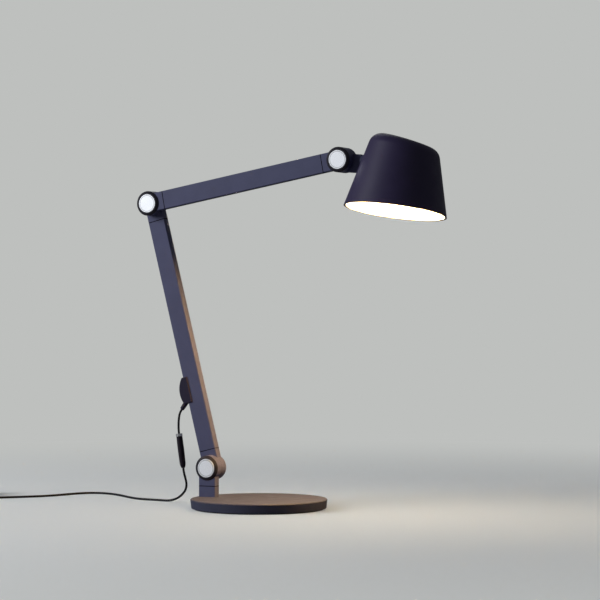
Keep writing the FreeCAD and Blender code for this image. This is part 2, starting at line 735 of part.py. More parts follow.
def make_joint(name, frame):
    """The hardware of one friction joint about Y, from the front disc to the rear cap."""
    face = f"(-{HALF_DEPTH})"
    nose = f"({face} - dims.bezel_depth)"
    seat = f"({face} - dims.disc_floor)"
    disc = "(dims.disc_diameter / 2)"
    spigot = "(dims.disc_spigot_diameter / 2)"
    turned(f"{name}_bezel", frame, "Y", [
        (f"{spigot} + dims.seat_clearance", face),
        ("dims.barrel_diameter / 2", face),
        ("dims.barrel_diameter / 2", f"{face} - dims.bezel_edge"),
        (f"{disc} + dims.disc_gap + dims.bezel_lip", nose),
        (f"{disc} + dims.disc_gap", nose),
        (f"{disc} + dims.disc_gap", seat),
        (f"{spigot} + dims.seat_clearance", seat),
    ])
    front = f"({nose} - dims.disc_proud)"
    turned(f"{name}_disc", frame, "Y", [
        ("0", f"{face} + dims.disc_spigot_depth"),
        (spigot, f"{face} + dims.disc_spigot_depth"),
        (spigot, seat),
        (disc, seat),
        (disc, f"{front} + dims.disc_edge"),
        (f"{disc} - dims.disc_edge", front),
        ("0", front),
    ])

    rear_face = f"({LAYER} + {HALF_DEPTH})"
    head = f"({rear_face} - dims.rear_recess_depth)"
    spring_floor = f"({face} + dims.front_recess_depth)"
    stack = "2 * (dims.spring_thickness + dims.spring_cone)"
    nut = f"({spring_floor} - {stack} - dims.nut_thickness - dims.seat_clearance)"
    bolt = turned(f"{name}_bolt", frame, "Y", [
        ("0", nut),
        ("dims.bolt_diameter / 2", nut),
        ("dims.bolt_diameter / 2", head),
        ("dims.bolt_head_diameter / 2", head),
        ("dims.bolt_head_diameter / 2", f"{head} + dims.bolt_head_height"),
        ("0", f"{head} + dims.bolt_head_height"),
    ])
    socket = new_sketch(bolt, "XZ_Plane")
    socket.setExpression(".AttachmentOffset.Base.z", f"-({head} + dims.bolt_head_height)")
    hexagon(socket, "dims.bolt_socket")
    slab(bolt, socket, "Pocket", "dims.bolt_head_height")

    lock = new_body(f"{name}_nut", chain(frame, shift(y=f"{nut} + dims.nut_thickness / 2")))
    profile = hexagon(new_sketch(lock, "XZ_Plane"), "dims.nut_width")
    circle(profile, "dims.bolt_diameter / 2 + dims.bolt_clearance")
    slab(lock, profile, "Pad", "dims.nut_thickness")

    springs = []
    pitch = "(dims.spring_thickness + dims.spring_cone)"
    for index in range(2):
        inner = "dims.bolt_diameter / 2 + dims.bolt_clearance"
        low = f"({nut} + dims.nut_thickness + dims.seat_clearance / 2 + {index} * {pitch})"
        lift = "dims.spring_cone" if index == 0 else "0"
        drop = "0" if index == 0 else "dims.spring_cone"
        body = doc.addObject("PartDesign::Body", f"{name}_spring_{index}")
        spin(body, "Revolution", "Y", [
            (inner, f"{low} + {drop}"),
            ("dims.spring_diameter / 2", f"{low} + {lift}"),
            ("dims.spring_diameter / 2", f"{low} + {lift} + dims.spring_thickness"),
            (inner, f"{low} + {drop} + dims.spring_thickness"),
        ])
        springs.append(body)
    group(f"{name}_spring_washers", springs, frame)

    turned(f"{name}_friction_washer", frame, "Y", [
        ("dims.bolt_diameter / 2 + dims.friction_clearance", HALF_DEPTH),
        ("dims.friction_diameter / 2", HALF_DEPTH),
        ("dims.friction_diameter / 2", f"{HALF_DEPTH} + dims.friction_thickness"),
        ("dims.bolt_diameter / 2 + dims.friction_clearance", f"{HALF_DEPTH} + dims.friction_thickness"),
    ])
    cap = "(dims.rear_cap_diameter / 2)"
    turned(f"{name}_rear_cap", frame, "Y", [
        ("0", f"{rear_face} - dims.rear_cap_thickness"),
        (cap, f"{rear_face} - dims.rear_cap_thickness"),
        (cap, f"{rear_face} - dims.rear_cap_edge"),
        (f"{cap} - dims.rear_cap_edge", rear_face),
        ("0", rear_face),
    ])


# ---------------------------------------------------------------- lamp head

MOUTH = "(dims.shade_mouth_diameter / 2)"
TAPER = "tan(dims.shade_taper)"
# how far the hollow runs past the mouth, and the cone past the top before it is cut
BELOW = 12
ABOVE = 30
CHIPS = 12
FINS = 5


def shade_form(name, inset, below):
    """The shade's solid form, its walls moved in by inset, run on below the mouth."""
    body = doc.addObject("PartDesign::Body", name)
    side = f"({MOUTH} - {inset} / cos(dims.shade_taper))"
    spin(body, "Revolution", "Z", [
        ("0", f"-{below}"),
        (f"{side} + {below} * {TAPER}", f"-{below}"),
        (f"{side} - (dims.shade_height + {ABOVE}) * {TAPER}", f"dims.shade_height + {ABOVE}"),
        ("0", f"dims.shade_height + {ABOVE}"),
    ])
    top = f"(dims.shade_height - {inset} / cos(dims.shade_top_tilt))"
    slope = "tan(dims.shade_top_tilt)"
    cap = outline(new_sketch(body, "XZ_Plane"), [
        (f"-{MOUTH}", f"{top} + {MOUTH} * {slope}"),
        (MOUTH, f"{top} - {MOUTH} * {slope}"),
        (MOUTH, "dims.shade_height * 2"),
        (f"-{MOUTH}", "dims.shade_height * 2"),
    ])
    slab(body, cap, "Pocket", "2 * dims.shade_mouth_diameter")
    level = size("shade_height") / 2
    dress(body, "Fillet", f"dims.shade_corner_radius - {inset}",
          lambda edge: edge.BoundBox.ZMin > level and edge.Length > level)
    return body


def make_shade():
    outer = shade_form("shade_outer_form", "0", 0)
    inner = shade_form("shade_inner_form", "dims.shade_wall", BELOW)
    shell = boolean("Cut", "shade_hollow", outer, inner)
    hole = shift("-dims.shade_reach", "0", "dims.shade_drop", Y_AXIS, "90")
    tool = cylinder("shade_neck_hole", "dims.swivel_diameter / 2 + dims.swivel_margin",
                    "dims.shade_reach", hole)
    shell = boolean("Cut", "shade_shell", shell, tool)
    shell.setExpression("Placement", SHADE)
    keep(shell, "shade_shell")

    lip = f"({MOUTH} - dims.shade_wall / cos(dims.shade_taper) - dims.reflector_gap)"
    wall = "dims.reflector_wall"
    top = "(dims.light_diameter / 2)"
    flange = "(dims.light_height + dims.light_flange)"
    spread = f"({lip} - {top}) / dims.light_height"
    rim = f"({lip} - dims.reflector_lip * {spread})"
    turned("shade_reflector", SHADE, "Z", [
        (rim, "dims.reflector_lip"),
        (top, "dims.light_height"),
        (top, flange),
        ("dims.light_opening / 2", flange),
        ("dims.light_opening / 2", "dims.light_height"),
        (f"{top} - {wall}", "dims.light_height"),
        (f"{rim} - {wall}", "dims.reflector_lip"),
    ])


def make_light():
    rest = "(dims.light_height + dims.light_flange)"
    roof = f"({rest} + dims.light_box_depth)"
    box = "(dims.light_diameter / 2)"
    keep(cylinder("diffuser", f"{box} - dims.light_box_wall - dims.diffuser_clearance",
                  "dims.diffuser_thickness", chain(SHADE, shift(z=rest))), "diffuser")
    board = chain(SHADE, shift(z=f"{roof} - dims.board_thickness"))
    keep(cylinder("led_board", "dims.board_diameter / 2", "dims.board_thickness", board), "led_board")
    chips = []
    for index in range(CHIPS):
        spot = chain(shift(angle=f"{index} * {FULL_TURN} / {CHIPS}"),
                     shift("dims.chip_circle / 2 - dims.chip_size / 2", "-dims.chip_size / 2",
                           "-dims.chip_height"))
        chips.append(primitive("Box", f"chip_{index}", spot, Length="dims.chip_size",
                               Width="dims.chip_size", Height="dims.chip_height"))
    group("led_chips", chips, board)

    sink = turned("heat_sink", SHADE, "Z", [
        ("0", roof),
        (f"{box} - dims.light_box_wall", roof),
        (f"{box} - dims.light_box_wall", rest),
        (box, rest),
        (box, f"{roof} + dims.sink_thickness"),
        ("0", f"{roof} + dims.sink_thickness"),
    ])
    fins = new_sketch(sink, "XZ_Plane")
    base = f"({roof} + dims.sink_thickness - {PAST})"
    for index in range(FINS):
        start = f"(dims.fin_offset + {index} * dims.fin_pitch)"
        rectangle(fins, start, f"{start} + dims.fin_thickness", base,
                  f"{base} + {PAST} + dims.fin_height")
    slab(sink, fins, "Pad", "dims.fin_length")


def make_swivel():
    half = "(dims.swivel_diameter / 2)"
    start = "(dims.barrel_diameter / 2 + dims.swivel_margin)"
    end = ("(dims.bracket_face + dims.swivel_gap + dims.swivel_nut_thickness"
           " + dims.swivel_margin)")
    turned("swivel_tube", NECK, "X", [
        (start, "dims.swivel_bore / 2"),
        (end, "dims.swivel_bore / 2"),
        (end, half),
        (start, half),
    ])
    along = shift(axis=Y_AXIS, angle="90")
    nut = new_body("swivel_nut", chain(
        NECK, shift(x="dims.bracket_face + dims.swivel_gap + dims.swivel_nut_thickness / 2"), along))
    profile = hexagon(new_sketch(nut, "XY_Plane"), "dims.swivel_nut_width")
    circle(profile, f"{half} + dims.swivel_clearance")
    slab(nut, profile, "Pad", "dims.swivel_nut_thickness")

    # seat outside and bracket inside clamp the shade's wall, and turn on the swivel tube
    cone = {
        "Radius1": f"{MOUTH}",
        "Radius2": f"{MOUTH} - dims.shade_height * {TAPER}",
        "Height": "dims.shade_height",
    }
    drop = shift("dims.shade_reach", "0", "-dims.shade_drop")
    seat = cylinder("seat_round", "dims.swivel_seat_diameter / 2",
                    "dims.bracket_face - dims.neck_length - dims.swivel_gap",
                    shift("dims.neck_length + dims.swivel_gap", axis=Y_AXIS, angle="90"))
    seat = boolean("Cut", "seat_trimmed", seat, primitive("Cone", "seat_cone", drop, **cone))
    bore = cylinder("seat_bore", f"{half} + dims.swivel_clearance", "dims.shade_reach", along)
    seat = boolean("Cut", "swivel_seat", seat, bore)
    seat.setExpression("Placement", SWIVEL)
    keep(seat, "swivel_seat")

    inside = dict(cone)
    wall = "dims.shade_wall / cos(dims.shade_taper)"
    for key in ("Radius1", "Radius2"):
        inside[key] = f"{cone[key]} - {wall}"
    foot = "(dims.light_height + dims.light_flange + dims.light_box_depth + dims.sink_thickness)"
    block = primitive("Box", "bracket_block",
                      shift("0", "-dims.bracket_width / 2", f"{foot} - dims.shade_drop"),
                      Length="dims.bracket_face", Width="dims.bracket_width",
                      Height="dims.bracket_height")
    block = boolean("Common", "bracket_trimmed", block,
                    primitive("Cone", "bracket_cone", drop, **inside))
    bore = cylinder("bracket_bore", f"{half} + dims.swivel_clearance", "dims.shade_reach", along)
    block = boolean("Cut", "swivel_bracket", block, bore)
    block.setExpression("Placement", SWIVEL)
    keep(block, "swivel_bracket")


# ---------------------------------------------------------------- cable inlet and switch


def inlet_form():
    """The housing before it is bored: a crowned block with a slot that fits the arm."""
    body = doc.addObject("PartDesign::Body", "inlet_form")
    sketch = new_sketch(body, "XZ_Plane")
    corners = [
        ("dims.inlet_start", "dims.inlet_low_height"),
        ("dims.inlet_start", f"{HALF_WIDTH} - dims.inlet_overlap"),
        ("dims.inlet_end", f"{HALF_WIDTH} - dims.inlet_overlap"),
        ("dims.inlet_end", "dims.inlet_high_height"),
    ]
    spots = [
        FreeCAD.Vector(sketch.evalExpression(x), sketch.evalExpression(y), 0) for x, y in corners
    ]
    for start, end in zip(spots, spots[1:]):
        sketch.addGeometry(Part.LineSegment(start, end), False)
    radius = size("inlet_crown_radius")
    chord = spots[0] - spots[3]
    inward = FreeCAD.Vector(-chord.y, chord.x, 0).normalize()
    depth = math.sqrt(radius ** 2 - (chord.Length / 2) ** 2)
    crest = (spots[0] + spots[3]) / 2 + inward * (depth - radius)
    crown = sketch.addGeometry(Part.Arc(spots[3], crest, spots[0]), False)
    for index in range(crown):
        following = (index + 1, 1)
        sketch.addConstraint(Sketcher.Constraint("Coincident", index, 2, *following))
        pin_point(sketch, index, 1, *corners[index])
    pin_point(sketch, crown - 1, 2, *corners[-1])
    sketch.addConstraint(Sketcher.Constraint("Coincident", crown, 2, 0, 1))
    held = sketch.addConstraint(Sketcher.Constraint("Radius", crown, radius))
    sketch.setExpression(f"Constraints[{held}]", "dims.inlet_crown_radius")
    slab(body, sketch, "Pad", "dims.arm_depth + 2 * dims.inlet_cheek")
    dress(body, "Fillet", "dims.inlet_edge_radius", lambda edge: True)
    slot = new_sketch(body, "XZ_Plane")
    rectangle(slot, f"dims.inlet_start - {PAST}", f"dims.inlet_end + {PAST}", "0", HALF_WIDTH)
    slab(body, slot, "Pocket", "dims.arm_depth + 2 * dims.inlet_clearance")
    return body


def make_inlet():
    plug = shift("dims.plug_along", "0", "dims.plug_out", Y_AXIS, "-dims.plug_angle")
    well = "(dims.socket_diameter / 2 + dims.socket_clearance)"
    sink = cylinder("inlet_well", well, "dims.socket_length + dims.plug_length", chain(
        plug, shift("-dims.socket_length", axis=Y_AXIS, angle="90")))
    housing = boolean("Cut", "inlet_housing", inlet_form(), sink)
    housing.setExpression("Placement", chain(LOWER, REAR))
    keep(housing, "inlet_housing")

    pin = "dims.plug_pin_diameter / 2"
    turned("inlet_socket", chain(LOWER, REAR, plug), "X", [
        ("-dims.socket_length", "0"),
        ("-dims.socket_length", "dims.socket_diameter / 2"),
        ("0", "dims.socket_diameter / 2"),
        ("0", f"{pin} + dims.socket_clearance"),
        ("-dims.plug_pin_length - dims.seat_clearance", f"{pin} + dims.socket_clearance"),
        ("-dims.plug_pin_length - dims.seat_clearance", "0"),
    ])
    turned("inlet_plug", chain(LOWER, REAR, plug), "X", [
        ("-dims.plug_pin_length", "0"),
        ("-dims.plug_pin_length", pin),
        ("0", pin),
        ("0", "dims.plug_diameter / 2"),
        ("dims.plug_grip", "dims.plug_diameter / 2"),
        ("dims.plug_length", "dims.plug_end_diameter / 2"),
        ("dims.plug_length", "0"),
    ])


def make_switch():
    neck = "dims.collar_length"
    total = "(dims.collar_length + dims.switch_length)"
    hollow = "(dims.switch_diameter / 2 - dims.switch_wall)"
    turned("switch_collar", SWITCH, "Z", [
        ("0", "0"),
        ("dims.collar_diameter / 2 - dims.collar_edge", "0"),
        ("dims.collar_diameter / 2", "dims.collar_edge"),
        ("dims.collar_diameter / 2", neck),
        (f"{hollow} - dims.seat_clearance", neck),
        (f"{hollow} - dims.seat_clearance", f"{neck} + dims.collar_spigot"),
        ("0", f"{neck} + dims.collar_spigot"),
    ])
    body = turned("switch_body", SWITCH, "Z", [
        (hollow, neck),
        ("dims.switch_diameter / 2", neck),
        ("dims.switch_belly_diameter / 2", f"{neck} + dims.switch_belly_along"),
        ("dims.switch_diameter / 2", f"{neck} + dims.switch_taper_along"),
        ("dims.switch_nose_diameter / 2", f"{total} - dims.switch_nose_length"),
        ("dims.switch_tip_diameter / 2", f"{total} - dims.switch_tip_length"),
        ("dims.switch_end_diameter / 2", total),
        ("0", total),
        ("0", f"{neck} + dims.switch_cavity"),
        (hollow, f"{neck} + dims.switch_cavity"),
    ])
    window = new_sketch(body, "XZ_Plane")
    window.setExpression(".AttachmentOffset.Base.z", "-dims.switch_diameter / 2")
    button_outline(window, "dims.button_clearance")
    slab(body, window, "Pocket", "2 * (dims.switch_diameter / 4)")

    button = new_body("switch_button", SWITCH)
    cap = new_sketch(button, "XZ_Plane")
    top = "(dims.switch_belly_diameter / 2 + dims.button_travel)"
    cap.setExpression(".AttachmentOffset.Base.z", f"-({top} - dims.button_height / 2)")
    button_outline(cap, "0")
    slab(button, cap, "Pad", "dims.button_height")


def button_outline(sketch, margin):
    """A rounded-end slot outline along the switch's length, margin wider all round."""
    half = f"(dims.button_width / 2 + {margin})"
    rectangle(sketch, f"-{half}", half, f"dims.button_along - dims.button_length / 2 - {margin}",
              f"dims.button_along + dims.button_length / 2 + {margin}")


# ---------------------------------------------------------------- cord


def fixed(name, shape, placement=None):
    """A sub-part with a shape worked out here, for what no feature can make."""
    feature = doc.addObject("Part::Feature", name)
    feature.Shape = shape
    if placement:
        feature.Placement = placement
    return keep(feature, name)


def pipe(path, name):
    """The cord's round solid along a wire; its volume is compared with the wire's length."""
    radius = size("cord_diameter") / 2
    start = path.Edges[0]
    heading = start.tangentAt(start.FirstParameter)
    spot = start.valueAt(start.FirstParameter)
    section = Part.Wire(Part.Circle(spot, heading, radius).toShape())
    solid = path.makePipeShell([section], True, False)
    expected = math.pi * radius ** 2 * path.Length
    print(f"{name}: length {path.Length:.1f}, volume / expected {solid.Volume / expected:.4f}")
    return solid


def run_of_cord(name, route):
    """A tube along straight runs joined by tangent arcs, as large as the runs allow."""
    points = [FreeCAD.Vector(*point) for point in route]
    edges = []
    radii = []
    here = points[0]
    for before, corner, after in zip(points, points[1:], points[2:]):
        arriving = corner - before
        leaving = after - corner
        reach = 0.45 * min(arriving.Length, leaving.Length)
        half_turn = arriving.getAngle(leaving) / 2
        arriving.normalize()
        leaving.normalize()
        start = corner - arriving * reach
        end = corner + leaving * reach
        radii.append(reach / math.tan(half_turn))
        bisector = (leaving - arriving).normalize()
        crest = corner + bisector * (radii[-1] / math.cos(half_turn) - radii[-1])
        edges.append(Part.LineSegment(here, start).toShape())
        edges.append(Part.Arc(start, crest, end).toShape())
        here = end
    edges.append(Part.LineSegment(here, points[-1]).toShape())
    print(f"{name}: radii " + " ".join(f"{radius:.0f}" for radius in radii))
    fixed(name, pipe(Part.Wire(edges), name))


def coil_place(turns):
    """The coil's centre line after some turns, about its own centre, clockwise from above.

    It spirals in and out at a steady rate and climbs a layer in each half turn where the
    spiral reverses.
    """
    pitch = size("coil_pitch")
    steady = (COIL_TURNS - (COIL_LAYERS - 1) * REVERSAL) / COIL_LAYERS
    # a first and last stretch slightly longer than the inner ones bring the outside even
    first = steady + REVERSAL / 8
    middle = steady - REVERSAL / 8
    radius = size("coil_radius")
    height = 0
    left = turns
    way = -1
    for layer in range(COIL_LAYERS):
        length = middle if 0 < layer < COIL_LAYERS - 1 else first
        if left <= length or layer == COIL_LAYERS - 1:
            radius += way * pitch * left
            break
        radius += way * pitch * length
        left -= length
        if left < REVERSAL:
            radius += way * pitch * (left - left ** 2 / REVERSAL)
            height += pitch * (1 - math.cos(math.pi * left / REVERSAL)) / 2
            break
        height += pitch
        left -= REVERSAL
        way = -way
    slant = math.atan(pitch / (2 * math.pi * size("coil_radius")))
    angle = math.pi / 2 + slant - 2 * math.pi * turns
    return FreeCAD.Vector(radius * math.cos(angle), radius * math.sin(angle), height)


def coil_heading(turns):
    step = 0.0001
    start = max(turns - step, 0)
    end = min(turns + step, COIL_TURNS)
    return (coil_place(end) - coil_place(start)).normalize()


def half_arc(start, corner, end):
    """An arc from start to end, tangent there to the lines through corner."""
    chord = (start + end) / 2
    weight = (chord - start).Length / (corner - start).Length
    return Part.Arc(start, (chord + corner * weight) / (1 + weight), end).toShape()


def biarc(start, heading, end, leaving):
    """Two arcs that leave start along heading and reach end along leaving."""
    across = end - start
    both = heading + leaving
    slack = 2 * (1 - heading.dot(leaving))
    root = math.sqrt(across.dot(both) ** 2 + slack * across.dot(across))
    reach = (root - across.dot(both)) / slack
    first = start + heading * reach
    second = end - leaving * reach
    middle = (first + second) / 2
    return [half_arc(start, first, middle), half_arc(middle, second, end)]


def make_coil():
    """The put-away length: one unbroken tube from the table's cord to the adapter."""
    stub = size("cord_diameter")
    quarters = math.ceil(COIL_TURNS * 4)
    marks = [COIL_TURNS * index / quarters for index in range(quarters + 1)]
    places = [coil_place(mark) for mark in marks]
    headings = [coil_heading(mark) for mark in marks]
    entry = places[0] - headings[0] * stub
    leave = places[-1] + headings[-1] * stub
    edges = [Part.LineSegment(entry, places[0]).toShape()]
    for index in range(quarters):
        edges += biarc(places[index], headings[index], places[index + 1], headings[index + 1])
    edges.append(Part.LineSegment(places[-1], leave).toShape())

    gap = least_gap([edge.valueAt(at) for edge in edges for at in spread(edge)])
    print(f"cord_coil: least gap to itself {gap:.2f} mm, entry {entry}, exit {leave}")

    last = FreeCAD.Vector(*TABLE_ROUTE[-1])
    run = last - FreeCAD.Vector(*TABLE_ROUTE[-2])
    turn = FreeCAD.Rotation(FreeCAD.Vector(0, 0, 1), math.degrees(math.atan2(run.y, run.x)))
    entry.z = 0
    place = FreeCAD.Placement(last - turn.multVec(entry), turn)
    fixed("cord_coil", pipe(Part.Wire(edges), "cord_coil"), place)
    away = FreeCAD.Rotation(FreeCAD.Vector(1, 0, 0), headings[-1])
    return place.multiply(FreeCAD.Placement(leave, away))


STEPS = 6


def spread(edge):
    low, high = edge.FirstParameter, edge.LastParameter
    return [low + (high - low) * index / STEPS for index in range(STEPS)]


def least_gap(points):
    """The least gap between stretches of the tube that lie over half a turn apart."""
    apart = 6 * STEPS
    nearest = min(
        (points[i] - points[j]).Length
        for i in range(len(points))
        for j in range(i + apart, len(points))
    )
    return nearest - size("cord_diameter")


def make_adapter(place):
    """The wall adapter that the coil ends in, lying on the table, its pins on the far end."""
    relief = turned("adapter_relief", "", "X", [
        ("0", "0"),
        ("0", "dims.adapter_relief_end_diameter / 2"),
        ("dims.adapter_relief_length", "dims.adapter_relief_diameter / 2"),
        ("dims.adapter_relief_length", "0"),
    ])
    body = new_body("adapter_body", "")
    start = "dims.adapter_relief_length"
    plan = new_sketch(body, "XY_Plane")
    rectangle(plan, start, f"{start} + dims.adapter_length", "-dims.adapter_width / 2",
              "dims.adapter_width / 2")
    slab(body, plan, "Pad", f"dims.cord_diameter + {2 * (COIL_LAYERS - 1)} * dims.coil_pitch")
    dress(body, "Fillet", "dims.adapter_radius", lambda edge: True)
    pins = []
    for side in "-+":
        spot = shift(f"{start} + dims.adapter_length", f"{side} dims.adapter_pin_spacing / 2", "0",
                     Y_AXIS, "90")
        pins.append(cylinder(f"adapter_pin_{len(pins)}", "dims.adapter_pin_diameter / 2",
                             "dims.adapter_pin_length", spot))
    pins = group("adapter_pins", pins)
    for piece in (relief, body, pins):
        piece.Placement = place


def done():
    """Check every object, then write each sub-part's shape."""
    doc.recompute()
    for item in doc.Objects:
        if "Invalid" in item.State or "Error" in item.State:
            raise RuntimeError(f"{item.Label}: {item.State}")
    os.makedirs("parts", exist_ok=True)
    for item in subparts:
        if item.Shape.isNull() or not item.Shape.isValid():
            raise RuntimeError(f"{item.Label}: shape is null or not valid")
    for item in subparts:
        item.Shape.exportStep(f"parts/{item.Label}.step")
        print(f"{item.Label}: {len(item.Shape.Solids)} solids, {item.Shape.Volume:.0f} mm3")


make_base()
make_base_screws()
make_tubes()
make_knuckles()
for joint, joint_frame in (("shoulder", SHOULDER), ("elbow", ELBOW), ("head", WRIST)):
    make_joint(joint, joint_frame)
make_shade()
make_light()
make_swivel()
make_inlet()
make_switch()
run_of_cord("cord_upper", UPPER_ROUTE)
run_of_cord("cord_hanging", HANGING_ROUTE)
run_of_cord("cord_floor", TABLE_ROUTE)
make_adapter(make_coil())
done()
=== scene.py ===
"""Desk lamp with two friction-jointed arms, dressed for rendering. Lengths are in metres."""
import json
import math

import bpy
from mathutils import Matrix, Vector

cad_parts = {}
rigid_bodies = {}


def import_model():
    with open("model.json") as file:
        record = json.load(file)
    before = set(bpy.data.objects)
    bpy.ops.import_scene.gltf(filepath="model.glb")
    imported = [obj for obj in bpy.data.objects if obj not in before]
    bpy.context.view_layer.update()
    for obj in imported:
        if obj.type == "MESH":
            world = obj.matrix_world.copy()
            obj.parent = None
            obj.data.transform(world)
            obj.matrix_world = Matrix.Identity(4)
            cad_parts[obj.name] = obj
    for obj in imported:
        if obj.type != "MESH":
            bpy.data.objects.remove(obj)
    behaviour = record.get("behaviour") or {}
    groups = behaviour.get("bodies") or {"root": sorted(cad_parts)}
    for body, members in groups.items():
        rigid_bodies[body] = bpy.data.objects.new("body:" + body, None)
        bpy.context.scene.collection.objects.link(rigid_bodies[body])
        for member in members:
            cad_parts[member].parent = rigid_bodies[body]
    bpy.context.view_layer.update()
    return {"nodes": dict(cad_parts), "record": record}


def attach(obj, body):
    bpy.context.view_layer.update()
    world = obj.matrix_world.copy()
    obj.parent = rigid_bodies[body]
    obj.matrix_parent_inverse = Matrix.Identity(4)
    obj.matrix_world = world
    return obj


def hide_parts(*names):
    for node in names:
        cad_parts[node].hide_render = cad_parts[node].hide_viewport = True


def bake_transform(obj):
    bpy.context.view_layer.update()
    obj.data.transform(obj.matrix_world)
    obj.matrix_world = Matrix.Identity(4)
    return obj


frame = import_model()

# ---------------------------------------------------------------- camera

CAMERA_SPOT = (1.52830, -3.03521, 0.30478)
CAMERA_HEADING = math.radians(25.714)
CAMERA_LENS = 139.66


def make_camera():
    lens = bpy.data.cameras.new("camera")
    lens.lens = CAMERA_LENS
    lens.sensor_width = 36
    camera = bpy.data.objects.new("camera", lens)
    camera.location = CAMERA_SPOT
    camera.rotation_euler = (math.pi / 2, 0, CAMERA_HEADING)
    bpy.context.collection.objects.link(camera)
    bpy.context.scene.camera = camera


make_camera()


# ---------------------------------------------------------------- cords

CORD_DIAMETER = 0.0034
CORD_SIDES = 14

# from the inlet's plug down to the switch
INLET_ROUTE = [
    (-0.1348, 0.0135, 0.1424),
    (-0.1377, 0.0135, 0.1383),
    (-0.1397, 0.0135, 0.1327),
    (-0.1407, 0.0135, 0.1248),
    (-0.1409, 0.0135, 0.1168),
    (-0.1407, 0.0135, 0.1104),
    (-0.14005, 0.0135, 0.1056),
]
# from the switch's end down to the table
HANGING_ROUTE = [
    (-0.13287, 0.0135, 0.0545),
    (-0.1319, 0.0135, 0.0476),
    (-0.1297, 0.0155, 0.0375),
    (-0.1306, 0.0200, 0.0288),
    (-0.1360, 0.0260, 0.0200),
    (-0.1470, 0.0335, 0.0115),
    (-0.1600, 0.0405, 0.0053),
    (-0.1750, 0.0465, 0.0017),
    (-0.1900, 0.0490, 0.0017),
]
# along the table to the coil
TABLE_ROUTE = [
    (-0.2048, 0.0515, 0.0017),
    (-0.2240, 0.0535, 0.0017),
    (-0.2430, 0.0610, 0.0017),
    (-0.2660, 0.0790, 0.0017),
    (-0.2920, 0.1010, 0.0017),
    (-0.3200, 0.1190, 0.0017),
    (-0.3450, 0.1240, 0.0017),
    (-0.3640, 0.1120, 0.0017),
    (-0.3740, 0.0860, 0.0017),
    (-0.3810, 0.0560, 0.0017),
    (-0.3950, 0.0295, 0.0017),
    (-0.4130, 0.0080, 0.0017),
    (-0.4340, -0.0125, 0.0017),
    (-0.4510, -0.0308, 0.0017),
]
COIL_RADIUS = 0.024
COIL_PITCH = 0.0039
COIL_TURNS = 10.32
COIL_LAYERS = 4
REVERSAL = 0.5
POINTS_PER_TURN = 24


def coil_spot(turns):
    """A point on the wound coil, whose layers run inward and outward by turns and climb."""
    steady = (COIL_TURNS - (COIL_LAYERS - 1) * REVERSAL) / COIL_LAYERS
    radius, height, left, way = COIL_RADIUS, 0.0, turns, -1
    for layer in range(COIL_LAYERS):
        length = steady + REVERSAL / 8 * (-1 if 0 < layer < COIL_LAYERS - 1 else 1)
        if left <= length or layer == COIL_LAYERS - 1:
            radius += way * COIL_PITCH * left
            break
        radius += way * COIL_PITCH * length
        left -= length
        if left < REVERSAL:
            radius += way * COIL_PITCH * (left - left ** 2 / REVERSAL)
            height += COIL_PITCH * (1 - math.cos(math.pi * left / REVERSAL)) / 2
            break
        height += COIL_PITCH
        left -= REVERSAL
        way = -way
    slant = math.atan(COIL_PITCH / (2 * math.pi * COIL_RADIUS))
    angle = math.pi / 2 + slant - 2 * math.pi * turns
    return Vector((radius * math.cos(angle), radius * math.sin(angle), height))


def coil_route():
    """The coil's points on the table, carried on from the end of the table's run."""
    last, before = Vector(TABLE_ROUTE[-1]), Vector(TABLE_ROUTE[-2])
    run = last - before
    entry = coil_spot(0) - Vector((CORD_DIAMETER, 0, 0))
    turn = Matrix.Rotation(math.atan2(run.y, run.x), 3, "Z")
    count = round(COIL_TURNS * POINTS_PER_TURN)
    spots = [coil_spot(COIL_TURNS * index / count) for index in range(count + 1)]
    spots.append(spots[-1] + (spots[-1] - spots[-2]).normalized() * CORD_DIAMETER)
    return [last + turn @ (spot - entry) for spot in spots]


def line_of(name, route):
    """The points along an open NURBS spline whose control points are the route's."""
    curve = bpy.data.curves.new(name, "CURVE")
    curve.dimensions = "3D"
    curve.resolution_u = 6
    spline = curve.splines.new("NURBS")
    spline.points.add(len(route) - 1)
    for control, spot in zip(spline.points, route):
        control.co = (*spot, 1)
    spline.order_u = 3
    spline.use_endpoint_u = True
    guide = bpy.data.objects.new(name, curve)
    bpy.context.collection.objects.link(guide)
    bpy.context.view_layer.update()
    mesh = bpy.data.meshes.new_from_object(guide)
    bpy.data.objects.remove(guide)
    return [vertex.co.copy() for vertex in mesh.vertices]


def mesh_piece(name, vertices, faces, smooth=True):
    mesh = bpy.data.meshes.new(name)
    mesh.from_pydata([tuple(spot) for spot in vertices], [], faces)
    mesh.polygons.foreach_set("use_smooth", [smooth] * len(mesh.polygons))
    piece = bpy.data.objects.new(name, mesh)
    bpy.context.collection.objects.link(piece)
    return piece


def tube(name, path, radius, sides):
    """A round tube along a path, its cross-sections carried along without twist."""
    vertices, faces = [], []
    across = Vector((0, 1, 0))
    for index, spot in enumerate(path):
        ahead = path[min(index + 1, len(path) - 1)] - path[max(index - 1, 0)]
        ahead.normalize()
        across = (across - ahead * across.dot(ahead)).normalized()
        beside = ahead.cross(across)
        for side in range(sides):
            angle = 2 * math.pi * side / sides
            vertices.append(spot + (across * math.cos(angle) + beside * math.sin(angle)) * radius)
    for index in range(len(path) - 1):
        for side in range(sides):
            start, after = index * sides, (side + 1) % sides
            faces.append((start + side, start + after, start + sides + after, start + sides + side))
    faces.append(tuple(range(sides - 1, -1, -1)))
    faces.append(tuple(range(len(vertices) - sides, len(vertices))))
    return mesh_piece(name, vertices, faces)


